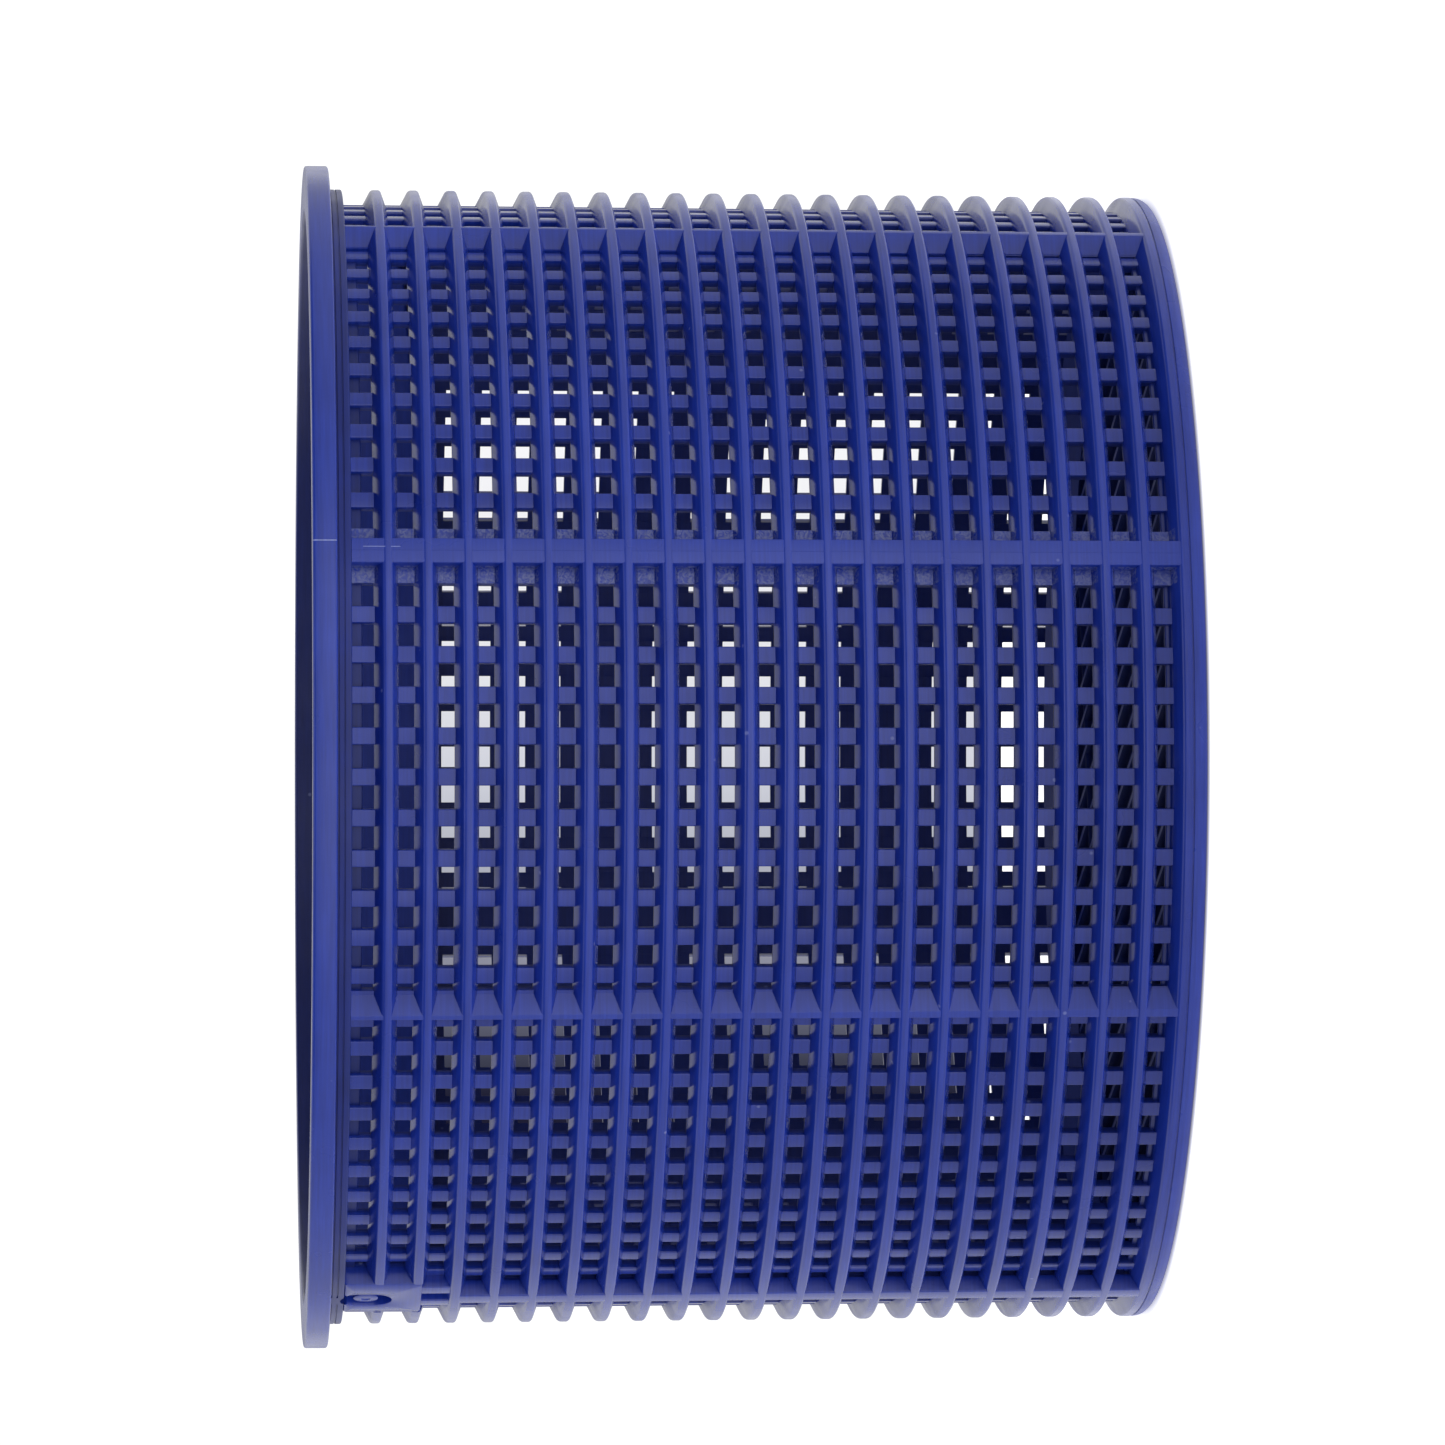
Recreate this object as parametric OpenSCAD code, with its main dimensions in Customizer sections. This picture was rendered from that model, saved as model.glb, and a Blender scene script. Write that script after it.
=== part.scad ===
// Skimmer basket with a folding handle, standing upright on its base.
// Origin: centre of the underside of the base, +Z up towards the mouth.
// The handle pivots on the X axis. The mould parts along the Y axis.
// Heights on the wall are given as a depth below the mouth.

/* [Basket] */
// Height from the underside of the base to the mouth
basket_h = 134.5; // [120:0.5:160]
// Diameter over the tips of the hoops, taken at the mouth
body_d = 181.3; // [170:0.5:200]
// Draft of the mould on the wall, in degrees
draft = 0.3; // [0:0.05:0.6]
// Thickness of the wall at the bars
wall_t = 1.4; // [1.1:0.1:2]

/* [Rim] */
// Diameter of the flange that rests on the ledge of the skimmer
flange_d = 189; // [186:0.5:210]
// Thickness of the flange
flange_t = 3.7; // [2.5:0.1:5]
// Chamfer on the outer edges of the flange
flange_edge = 0.4; // [0.2:0.1:0.8]
// Height of the shoulder collar under the flange
collar_h = 2.2; // [1.5:0.1:3]
// Height of the closed skirt between the bars, under the collar
skirt_h = 1.6; // [0.8:0.1:2]
// How far the skirt lies behind the outer face of the bars
skirt_inset = 0.7; // [0.3:0.1:0.9]

/* [Hoops] */
// Depth of the first hoop's centre below the mouth
hoop_top = 11.3; // [10:0.1:12]
// Spacing wanted from hoop to hoop, rounded to fill the wall evenly
hoop_pitch = 6; // [5.5:0.1:8]
// Radial depth of a hoop from its tip to the face of the bars
hoop_depth = 2.4; // [1.8:0.1:3]
// Width of a hoop at its tip
hoop_tip = 1.4; // [1:0.1:1.8]
// Slope of the flank that faces the mouth, from tip to foot
flank_up = 1.25; // [0.8:0.05:1.3]
// Slope of the flank that faces the base, from tip to foot
flank_down = 0.85; // [0.4:0.05:1]
// Chamfer on the two edges of a hoop's tip
tip_edge = 0.25; // [0.1:0.05:0.35]
// Width and depth of the groove between the last hoop and the base
foot_groove = 0.25; // [0.1:0.05:0.5]

/* [Bars and ribs] */
// Number of places for bars round the wall, two more than a multiple of four
bar_count = 90; // [78:4:98]
// Width of a bar
bar_w = 2.6; // [2.2:0.1:3.4]
// Width of the flush ribs on the parting line and below the pivots
rib_w = 4; // [3:0.1:4.6]
// Width of the land on top of a ramp rib
ramp_land = 0.7; // [0.5:0.1:1]
// Width of the ledge beside a ramp rib
ramp_ledge = 2.3; // [1.6:0.1:2.5]

/* [Base] */
// Thickness of the base
base_t = 2.1; // [1.8:0.1:4]
// Rounding on the outer edge of the base
base_edge = 1.7; // [0.3:0.1:2]
// Height of the cove inside the corner of the wall and the base
cove_h = 4; // [2:0.5:6]
// Width of the ring round the grille
ring_w = 4; // [3:0.5:8]
// Spacing of the slots in the grille
slot_pitch = 6; // [5:0.5:9]
// Width of a slot in the grille
slot_w = 3; // [2:0.1:3.5]
// Spacing of the cross ribs between the ends of the slots
slot_l = 36; // [24:1:60]
// Width of a cross rib
cross_w = 3; // [2:0.1:5]

/* [Handle] */
// Depth of the pivot axis below the mouth
pivot_depth = 9.3; // [9:0.1:11]
// Width of the strap
strap_w = 15; // [12:0.5:16]
// Thickness of the strap
strap_t = 2; // [1.5:0.1:3]
// Clearance from the strap to the inside of the wall
strap_gap = 0.9; // [0.8:0.1:1.5]
// Diameter of the pivot pins
pin_d = 4; // [3:0.1:5]
// Radial clearance of a pin in its bore
pin_gap = 0.08; // [0.05:0.01:0.1]
// How far the folded handle lies below level, in degrees
handle_rest = 4; // [0:0.5:6]
// How far the end of a pin stops short of the face of its plate
pin_short = 0.3; // [0.2:0.1:1]
// Length of the pocket round the end of a pin, up and down the wall
pocket_l = 8; // [7:0.1:9]
// Width of the pocket, round the wall
pocket_w = 5.6; // [5.4:0.1:6.5]

/* [Hidden] */
$fn = 96;

basket_blue = [0.10, 0.12, 0.52];
handle_blue = [0.09, 0.11, 0.46];

// The flanks of hoops and ribs run on this far into the bars
root = 0.2;
// The inner faces of hoops and skirt stand back this far from those of the bars
skirt_back = 0.05;
// The face of a rib lies this far under the tips of the hoops
rib_inset = 0.05;
// The closed skirt on the flank of the last hoop is this high
foot_skirt = 0.7;

// Radii of the wall at a depth below the mouth
function tip_r(a) = body_d / 2 - a * tan(draft);
function bar_r(a) = tip_r(a) - hoop_depth;
function in_r(a) = bar_r(a) - wall_t;

// Depths below the mouth
wall_top = flange_t + collar_h;
wall_end = basket_h - base_t;
last_hoop = wall_end - foot_groove - hoop_tip / 2;
hoop_gaps = round((last_hoop - hoop_top) / hoop_pitch);
hoop_step = (last_hoop - hoop_top) / hoop_gaps;
plate_end = hoop_top + hoop_step + hoop_tip / 2;
rib_start = hoop_top + 2 * hoop_step;
function hoop_a(n) = hoop_top + n * hoop_step;

// Angles round the wall, from the pivot axis towards the parting line
step = 360 / bar_count;
bar_half = asin(bar_w / 2 / bar_r(0));
rib_half = asin(rib_w / 2 / tip_r(0));
pivot_half = step + bar_half;
parting_half = step / 2 + bar_half;
ramp_k = floor(bar_count / 8);
last_k = floor(bar_count / 4);
ramp_side = ramp_k * step;
ramp_start = ramp_side - ramp_ledge / bar_r(0) * 180 / PI;
ramp_y = tip_r(wall_top) * sin(ramp_side + ramp_land / tip_r(0) * 180 / PI);
ramp_stop = asin(ramp_y / bar_r(wall_end));

// A piece of the wall between two depths and two angles, whose inner and
// outer radii are given at both depths
module wall_piece(a1, a2, in1, in2, out1, out2, from, to) {
    rotate([0, 0, from])
        rotate_extrude(angle = to - from)
            polygon([[in1, basket_h - a1], [in2, basket_h - a2],
                [out2, basket_h - a2], [out1, basket_h - a1]]);
}

// A full-depth stretch of wall at bar level
module bar_level(a1, a2, from, to) {
    wall_piece(a1, a2, in_r(a1), in_r(a2), bar_r(a1), bar_r(a2), from, to);
}

// A stretch of wall at the level of the ribs' faces, standing on the bars
module rib_level(a1, a2, from, to) {
    wall_piece(a1, a2, bar_r(a1) - root, bar_r(a2) - root,
        tip_r(a1) - rib_inset, tip_r(a2) - rib_inset, from, to);
}

// One hoop between two angles, through the full depth of the wall. The last
// one stands on the base, with a groove between their outer faces, and has a
// skirt on its flank that closes the lower ends of the windows.
module hoop(n, from, to) {
    a = hoop_a(n);
    up = basket_h - a + hoop_tip / 2;
    down = basket_h - a - hoop_tip / 2;
    tip = tip_r(a);
    foot = bar_r(a) - root;
    back = in_r(a) + skirt_back;
    up_slope = flank_up / hoop_depth;
    down_slope = flank_down / hoop_depth;
    skirt = bar_r(a) - skirt_inset;
    skirt_foot = up + up_slope * (tip - skirt);
    up_side = n < hoop_gaps
        ? [[foot, up + up_slope * (tip - foot)], [back, up + up_slope * (tip - foot)]]
        : [[skirt, skirt_foot], [skirt, skirt_foot + foot_skirt],
            [back, skirt_foot + foot_skirt]];
    down_side = n < hoop_gaps
        ? [[back, down - down_slope * (tip - foot)],
            [foot, down - down_slope * (tip - foot)],
            [tip - tip_edge, down - down_slope * tip_edge]]
        : [[back, base_t], [tip - foot_groove, base_t], [tip - foot_groove, down]];
    rotate([0, 0, from])
        rotate_extrude(angle = to - from)
            polygon(concat(down_side,
                [[tip, down + tip_edge], [tip, up - tip_edge],
                [tip - tip_edge, up + up_slope * tip_edge]], up_side));
}

module hoops(from, to, first = 0) {
    for (n = [first : hoop_gaps])
        hoop(n, from, to);
}

// Quarters 1 to 4 counter-clockwise from the first pivot: odd ones as drawn
// and turned, even ones mirrored across the parting line
module in_quarter(q) {
    rotate([0, 0, q > 2 ? 180 : 0])
        mirror([q == 2 || q == 4 ? 1 : 0, 0, 0])
            children();
}

// Hoops, bars and the closed skirt from one angle to another, with the bars
// at places k1 to k2
module wall_stretch(from, to, k1, k2) {
    hoops(from, to);
    for (k = [k1 : k2])
        bar_level(wall_top, wall_end, k * step - bar_half, k * step + bar_half);
    skirt_end = wall_top + skirt_h;
    wall_piece(wall_top, skirt_end, in_r(wall_top) + skirt_back, in_r(skirt_end) + skirt_back,
        bar_r(wall_top) - skirt_inset, bar_r(skirt_end) - skirt_inset, from, to);
}

// Panels 1 and 2 fill quarter 1, panels 3 and 4 quarter 2, and so on; the
// panel next to a pivot and the one next to the parting line differ
module wall_panel(i) {
    q = ceil(i / 2);
    by_pivot = i % 4 < 2;
    color(basket_blue)
        in_quarter(q)
            if (by_pivot)
                wall_stretch(pivot_half, ramp_start, 2, ramp_k - 1);
            else
                wall_stretch(ramp_stop, 90 - parting_half, ramp_k + 1, last_k - 1);
}

module rim_flange() {
    out = flange_d / 2;
    color(basket_blue)
        rotate_extrude()
            polygon([[in_r(0), basket_h], [in_r(flange_t), basket_h - flange_t],
                [out - flange_edge, basket_h - flange_t],
                [out, basket_h - flange_t + flange_edge],
                [out, basket_h - flange_edge],
                [out - flange_edge, basket_h]]);
}

// The collar has no draft outside, where the ledge of the skimmer centres it
module shoulder_collar() {
    color(basket_blue)
        difference() {
            rotate_extrude()
                polygon([[in_r(flange_t), basket_h - flange_t],
                    [in_r(wall_top), basket_h - wall_top],
                    [body_d / 2, basket_h - wall_top],
                    [body_d / 2, basket_h - flange_t]]);
            for (turn = [0, 180])
                rotate([0, 0, turn])
                    pivot_pocket();
        }
}

// Flush rib on the parting line: two bars joined, the rib on them and the
// ends of the hoops
module parting_rib(i) {
    mid = i == 1 ? 270 : 90;
    color(basket_blue) {
        bar_level(wall_top, wall_end, mid - parting_half, mid + parting_half);
        rib_level(wall_top, last_hoop, mid - rib_half, mid + rib_half);
        hoops(mid - parting_half, mid + parting_half);
    }
}

// Below a pivot plate: three bars joined, the flush rib from the third hoop
// down, and the ends of the hoops below the plate
module pivot_rib(i) {
    mid = i == 1 ? 0 : 180;
    color(basket_blue) {
        bar_level(plate_end, wall_end, mid - pivot_half, mid + pivot_half);
        rib_level(rib_start, last_hoop, mid - rib_half, mid + rib_half);
        hoops(mid - pivot_half, mid + pivot_half, 2);
    }
}

// Rib with a ramp towards the parting line, parallel to the way the mould
// opens, and a plain side towards the pivot
module ramp_rib(q) {
    color(basket_blue)
        in_quarter(q) {
            bar_level(wall_top, wall_end, ramp_start, ramp_stop);
            intersection() {
                rib_level(wall_top, last_hoop, ramp_side, ramp_stop);
                translate([0, 0, -1])
                    cube([body_d, ramp_y, basket_h + 2]);
            }
            hoops(ramp_start, ramp_stop);
        }
}

// Thick plate that carries a pivot pin in a bore, with a pocket round its end
module pivot_plate(i) {
    color(basket_blue)
        rotate([0, 0, i == 1 ? 0 : 180])
            difference() {
                union() {
                    bar_level(wall_top, plate_end, -pivot_half, pivot_half);
                    rib_level(wall_top, plate_end, -pivot_half, pivot_half);
                }
                translate([0, 0, basket_h - pivot_depth])
                    rotate([0, 90, 0])
                        cylinder(h = body_d, d = pin_d + 2 * pin_gap);
                pivot_pocket();
            }
}

// Pocket with round ends round the first pivot, from the level of the bars out
module pivot_pocket() {
    reach = (pocket_l - pocket_w) / 2;
    translate([bar_r(pivot_depth), 0, basket_h - pivot_depth])
        rotate([0, 90, 0]) {
            for (side = [-reach, reach])
                translate([side, 0, 0])
                    cylinder(h = body_d, d = pocket_w);
            translate([-reach, -pocket_w / 2, 0])
                cube([2 * reach, pocket_w, body_d]);
        }
}

module base_rim() {
    cove_top = wall_end - cove_h;
    out = tip_r(wall_end) - rib_inset;
    inner = in_r(wall_end) - ring_w;
    color(basket_blue)
        rotate_extrude()
            polygon(concat([[inner, 0], [inner, base_t],
                [in_r(cove_top), base_t + cove_h],
                [in_r(wall_end), base_t], [out, base_t]],
                [for (t = [0 : 15 : 90])
                    [out - base_edge + base_edge * cos(t),
                        base_edge - base_edge * sin(t)]]));
}

// Long slots parallel to the parting line, between cross ribs
module base_grille() {
    r = in_r(wall_end) - ring_w;
    reach = floor((r - slot_w) / slot_pitch);
    rows = ceil(r / slot_l);
    color(basket_blue)
        difference() {
            cylinder(h = base_t, r = r);
            for (i = [-reach : reach], j = [-rows : rows]) {
                end = sqrt(pow(r - 1, 2) - pow(abs(i) * slot_pitch + slot_w / 2, 2));
                y1 = max(-end, (j - 0.5) * slot_l + cross_w / 2);
                y2 = min(end, (j + 0.5) * slot_l - cross_w / 2);
                if (y2 - y1 > slot_w)
                    translate([i * slot_pitch - slot_w / 2, y1, -base_t / 2])
                        cube([slot_w, y2 - y1, 2 * base_t]);
            }
        }
}

// From the folded strap's own plane, which holds the pivot axis, to its place
module folded() {
    translate([0, 0, basket_h - pivot_depth])
        rotate([-handle_rest, 0, 0])
            children();
}

// Half a flat hoop with rounded ends, folded against the wall on the +Y side
module handle_strap() {
    out = in_r(0) - strap_gap;
    color(handle_blue)
        folded()
            intersection() {
                rotate_extrude()
                    translate([out - strap_t, -strap_w / 2])
                        square([strap_t, strap_w]);
                union() {
                    translate([-body_d / 2, 0, -strap_w])
                        cube([body_d, body_d / 2, 2 * strap_w]);
                    rotate([0, 90, 0])
                        cylinder(h = body_d, d = strap_w, center = true);
                }
            }
}

// The inner end of a pin is hollowed to seat on the strap
module pivot_pin(i) {
    seat = in_r(0) - strap_gap;
    end = tip_r(pivot_depth) - rib_inset - pin_short;
    color(handle_blue)
        folded()
            rotate([0, 0, i == 1 ? 0 : 180])
                difference() {
                    rotate([0, 90, 0])
                        cylinder(h = end, d = pin_d);
                    cylinder(h = 2 * pin_d, r = seat, center = true);
                }
}

rim_flange();
shoulder_collar();
for (i = [1 : 8])
    wall_panel(i);
for (i = [1 : 2])
    parting_rib(i);
for (i = [1 : 2])
    pivot_rib(i);
for (i = [1 : 4])
    ramp_rib(i);
for (i = [1 : 2])
    pivot_plate(i);
base_rim();
base_grille();
handle_strap();
for (i = [1 : 2])
    pivot_pin(i);
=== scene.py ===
# %% [markdown]
# # A skimmer basket in moulded polypropylene
# The basket hangs in the skimmer of a pool and catches leaves. It is one
# moulding: a flange that rests on a ledge, a lattice wall of hoops and bars,
# and a slotted base. A flat handle folds down inside it on two pins.
# The construction gives every size. This file gives the surface its
# rounded edges, its finish and its light.

# %% The frame
import bpy
import math
import numpy as np
from mathutils import Matrix


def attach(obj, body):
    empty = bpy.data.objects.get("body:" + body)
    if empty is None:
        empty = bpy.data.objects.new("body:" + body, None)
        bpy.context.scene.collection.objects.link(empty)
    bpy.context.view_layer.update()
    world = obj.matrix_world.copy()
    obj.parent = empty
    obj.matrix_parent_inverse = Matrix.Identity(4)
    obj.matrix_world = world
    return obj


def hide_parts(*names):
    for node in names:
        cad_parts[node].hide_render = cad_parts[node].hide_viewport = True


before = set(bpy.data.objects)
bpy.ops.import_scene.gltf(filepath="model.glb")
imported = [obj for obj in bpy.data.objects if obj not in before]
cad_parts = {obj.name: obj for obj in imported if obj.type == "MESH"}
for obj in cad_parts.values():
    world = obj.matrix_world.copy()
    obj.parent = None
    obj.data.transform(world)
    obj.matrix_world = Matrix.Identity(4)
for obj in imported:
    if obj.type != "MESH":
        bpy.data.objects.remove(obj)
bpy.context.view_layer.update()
print("nodes:", len(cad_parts))

# %% [markdown]
# ## Sizes of the wall
# The wall has draft: it narrows a little from the mouth to the base, so that
# the moulding comes off its core. Each radius is therefore a function of the
# depth below the mouth. All sizes here are in millimetres, as on a drawing,
# and one function turns them to metres when a mesh is made.

# %% Sizes
basket_h = 134.5
flange_r, flange_t = 94.5, 3.7
body_r, draft = 90.65, 0.3
wall_top, wall_end = 5.9, 132.4
wall_t, hoop_depth, hoop_tip = 1.4, 2.4, 1.4
flank_up, flank_down, foot_groove, foot_skirt = 1.25, 0.85, 0.25, 0.7
root, rib_inset = 0.2, 0.05
bar_w, rib_w, step = 2.6, 4.0, 4.0
skirt_end, skirt_inset = 7.5, 0.7
pivot_depth, pocket_r, pocket_rise, bore_r, pin_r = 9.3, 2.8, 1.2, 2.08, 2.0
strap_w, strap_t, strap_gap, handle_rest = 15.0, 2.0, 0.9, 4.0
last_hoop = wall_end - foot_groove - hoop_tip / 2
first_hoop, hoop_count = 11.3, 21
hoop_depths = np.linspace(first_hoop, last_hoop, hoop_count)


def tip_r(a):
    """Radius at the tips of the hoops: it falls with the depth a by the
    tangent of the draft."""
    return body_r - a * math.tan(math.radians(draft))


def bar_r(a):
    """Radius at the faces of the bars."""
    return tip_r(a) - hoop_depth


def in_r(a):
    """Radius inside the wall."""
    return bar_r(a) - wall_t


bar_half = math.degrees(math.asin(bar_w / 2 / bar_r(0)))
pivot_half, parting_half = step + bar_half, step / 2 + bar_half
# A ramp rib stands on a stretch of wall that begins 2.3 mm before its upright
# side. Its slope keeps one place along Y, which a crest of 0.7 mm at the top
# of the wall sets
ramp_side, ramp_flat, ramp_top = 44.0, 2.3, 0.7
ramp_start = ramp_side - math.degrees(ramp_flat / bar_r(0))
ramp_y = tip_r(wall_top) * math.sin(math.radians(ramp_side) + ramp_top / tip_r(0))
ramp_stop = math.degrees(math.asin(ramp_y / bar_r(wall_end)))
print("hoops:", len(hoop_depths), "pitch:", round(hoop_depths[1] - hoop_depths[0], 3))

# %% [markdown]
# ## Rounded sections
# A mould's edges are never quite sharp, and a rounded edge is what catches
# the light. So each section is a closed outline, drawn counter-clockwise,
# whose corners are replaced by short arcs.


# %% Rounded outline
def rounded(corners, radii, n=4):
    """Outline with round corners. At each corner the arc touches both sides
    at the distance radius over the tangent of half the angle, and is drawn
    as a parabola through that corner: (1-t)^2 A + 2t(1-t) P + t^2 B."""
    points = np.array(corners, float)
    out = []
    for i, p in enumerate(points):
        before, after = points[i - 1] - p, points[(i + 1) % len(points)] - p
        la, lb = np.linalg.norm(before), np.linalg.norm(after)
        if radii[i] == 0:
            out.append(p[None])
            continue
        half = math.acos(np.clip(before @ after / (la * lb), -1, 1)) / 2
        reach = min(radii[i] / math.tan(half), 0.45 * la, 0.45 * lb)
        t = np.linspace(0, 1, n + 1)[:, None]
        a, b = p + before / la * reach, p + after / lb * reach
        out.append((1 - t) ** 2 * a + 2 * t * (1 - t) * p + t**2 * b)
    return np.concatenate(out)


# %% [markdown]
# ## Two ways to carry a section
# A hoop is a section turned about the axis of the basket. A bar or a rib is
# a section carried down the wall, where it follows the draft. Both give a
# grid of points, from which the faces come as whole arrays.


# %% Turning and carrying
def grid_faces(rows, points, around):
    """Quads of a grid whose rows are closed outlines, joined row to row, and
    last to first where it goes right round."""
    r = np.arange(rows if around else rows - 1)[:, None]
    p = np.arange(points)[None]
    q, s = (r + 1) % rows, (p + 1) % points
    quads = np.stack([r * points + p, q * points + p, q * points + s, r * points + s], -1)
    faces = quads.reshape(-1, 4).tolist()
    if not around:
        faces.append(list(range(points)))
        faces.append([(rows - 1) * points + k for k in range(points - 1, -1, -1)])
    return faces


def turned(outline, start, stop, fine=1.0):
    """Outline of radius and depth turned from one angle to another:
    x = r cos t, y = r sin t, z = height - depth."""
    around = stop - start >= 360
    count = max(2, round((stop - start) / fine) + (0 if around else 1))
    t = np.radians(np.linspace(start, stop, count, endpoint=not around))[:, None]
    r, a = outline[None, :, 0], outline[None, :, 1]
    xyz = np.stack([r * np.cos(t), r * np.sin(t), basket_h - a + 0 * t], -1)
    return xyz.reshape(-1, 3), grid_faces(count, len(outline), around)


def carried(outlines, depths, angle):
    """Outlines of outward and sideways place, one for each depth, carried
    down the wall at an angle: the outward place runs along the radius and
    the sideways one along the tangent."""
    o = np.stack(outlines)
    c, s = math.cos(math.radians(angle)), math.sin(math.radians(angle))
    out, side = o[..., 0], o[..., 1]
    z = basket_h - np.array(depths, float)[:, None] + 0 * out
    xyz = np.stack([out * c - side * s, out * s + side * c, z], -1)
    faces = [f[::-1] for f in grid_faces(len(depths), o.shape[1], False)]
    return xyz.reshape(-1, 3), faces


def ringed(rings, around=False):
    """Closed rings of points, joined one to the next. The faces are turned
    over where the volume, a sum of a . (b x c) / 6 over triangles, is below
    zero, so that they always point outwards."""
    faces = grid_faces(len(rings), len(rings[0]), around)
    xyz = np.concatenate(rings)
    fan = np.array([(f[0], f[k], f[k + 1]) for f in faces for k in range(1, len(f) - 1)])
    a, b, c = xyz[fan[:, 0]], xyz[fan[:, 1]], xyz[fan[:, 2]]
    if np.einsum("ij,ij->i", a, np.cross(b, c)).sum() < 0:
        faces = [f[::-1] for f in faces]
    return xyz, faces


def in_quarter(shape, q):
    """Quarters 1 to 4 from the first pivot: mirrored across the parting line
    where even, then turned half a turn where past 2. A mirrored face is
    turned over, so that it still points outwards."""
    xyz, faces = shape
    xyz = xyz.copy()
    if q % 2 == 0:
        xyz[:, 0] *= -1
        faces = [f[::-1] for f in faces]
    if q > 2:
        xyz[:, :2] *= -1
    return xyz, faces


# %% [markdown]
# ## The sections of the wall
# The flanks of a hoop are uneven, steeper towards the base, and the corner of
# its tip that faces the mouth is worn softer than the other. The last hoop
# stands on the base, with a thin groove where they meet, and its flank carries
# a low closed skirt. The faces of the bars lie 2.4 mm behind the tips of the
# hoops, and the wall behind them is 1.4 mm thick.


# %% Hoop, bar and rib
def hoop(a, start, stop):
    """Hoop at the depth a, from one angle to another."""
    tip, foot, back = tip_r(a), bar_r(a) - root, in_r(a) + 0.05
    low, high = a + hoop_tip / 2, a - hoop_tip / 2
    if a < last_hoop - 0.1:
        low_foot = low + flank_down / hoop_depth * (tip - foot)
        high_foot = high - flank_up / hoop_depth * (tip - foot)
        corners = [(back, low_foot), (foot, low_foot), (tip, low)]
        corners += [(tip, high), (foot, high_foot), (back, high_foot)]
        return turned(rounded(corners, [0, 0, 0.42, 0.7, 0, 0], 5), start, stop)
    skirt_r = bar_r(a) - skirt_inset
    skirt_foot = high - flank_up / hoop_depth * (tip - skirt_r)
    corners = [(back, wall_end), (tip - foot_groove, wall_end), (tip - foot_groove, low)]
    corners += [(tip, low), (tip, high), (skirt_r, skirt_foot)]
    corners += [(skirt_r, skirt_foot - foot_skirt), (back, skirt_foot - foot_skirt)]
    return turned(rounded(corners, [0, 0, 0, 0.15, 0.7, 0.3, 0.2, 0], 5), start, stop)


def slab(inner, outer, half_a, half_b, edge, back=0.0):
    """Section between two radii and two sideways places."""
    corners = [(inner, half_a), (outer, half_a), (outer, half_b), (inner, half_b)]
    return rounded(corners, [back, edge, edge, back], 3)


def wall_slab(top, end, start, stop, out_r, edge=0.22):
    """Stretch of wall between two angles, carried down the wall at their
    middle; its sides run along the radius."""
    mid, half = (start + stop) / 2, math.radians((stop - start) / 2)
    sections = []
    for a in (top, end):
        w = out_r(a) * math.sin(half)
        sections.append(slab(in_r(a), out_r(a) * math.cos(half), -w, w, edge, 0.15))
    return carried(sections, (top, end), mid)


def rib(top, end, mid):
    """Flush rib: a stretch between the faces of the bars and the tips."""
    sections = []
    for a in (top, end):
        sections.append(slab(bar_r(a) - root, tip_r(a) - rib_inset, -rib_w / 2, rib_w / 2, 0.3))
    return carried(sections, (top, end), mid)


def strip(top, end, start, stop, out_r):
    """Wider stretch of wall, turned so that it keeps its curve."""
    corners = [(in_r(end), end), (out_r(end), end), (out_r(top), top), (in_r(top), top)]
    return turned(rounded(corners, [0, 0, 0, 0]), start, stop, 0.5)


def skirt(start, stop):
    """Closed band under the collar."""
    corners = [
        (in_r(skirt_end) + 0.05, skirt_end),
        (bar_r(skirt_end) - skirt_inset, skirt_end),
        (bar_r(wall_top) - skirt_inset, wall_top),
        (in_r(wall_top) + 0.05, wall_top),
    ]
    return turned(rounded(corners, [0.15, 0.25, 0, 0], 3), start, stop)


# %% [markdown]
# ## Making the mesh
# The shapes of one piece are joined into one mesh. Faces are smooth except
# where two of them meet at more than 35 degrees.


# %% Mesh from shapes
def make_piece(name, shapes, material, body, nodes, quarter=1):
    """One mesh of all the shapes, on its body, in place of CAD nodes."""
    points, faces, base = [], [], 0
    for xyz, f in (in_quarter(s, quarter) for s in shapes):
        points.append(xyz)
        faces += [[k + base for k in face] for face in f]
        base += len(xyz)
    mesh = bpy.data.meshes.new(name)
    mesh.from_pydata((np.concatenate(points) * 0.001).tolist(), [], faces)
    mesh.validate()
    mesh.polygons.foreach_set("use_smooth", np.ones(len(mesh.polygons), bool))
    mesh.set_sharp_from_angle(angle=math.radians(35))
    mesh.materials.append(material)
    piece = bpy.data.objects.new(name, mesh)
    bpy.context.scene.collection.objects.link(piece)
    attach(piece, body)
    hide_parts(*nodes)
    return piece


# %% [markdown]
# ## Moulded polypropylene
# The basket is injection-moulded polypropylene in royal blue. The mould is
# polished, so the skin is semi-gloss, and the melt leaves faint flow marks:
# soft bands of lighter and darker blue, and a skin that is not quite even.
# At a glancing angle it mirrors the white studio and washes out.


# %% Colours and nodes
def linear(hex_colour):
    """sRGB hex to linear: c/12.92 below 0.04045, else ((c+0.055)/1.055)^2.4."""
    c = np.array([int(hex_colour[k : k + 2], 16) / 255 for k in (1, 3, 5)])
    return (*np.where(c <= 0.04045, c / 12.92, ((c + 0.055) / 1.055) ** 2.4), 1.0)


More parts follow.
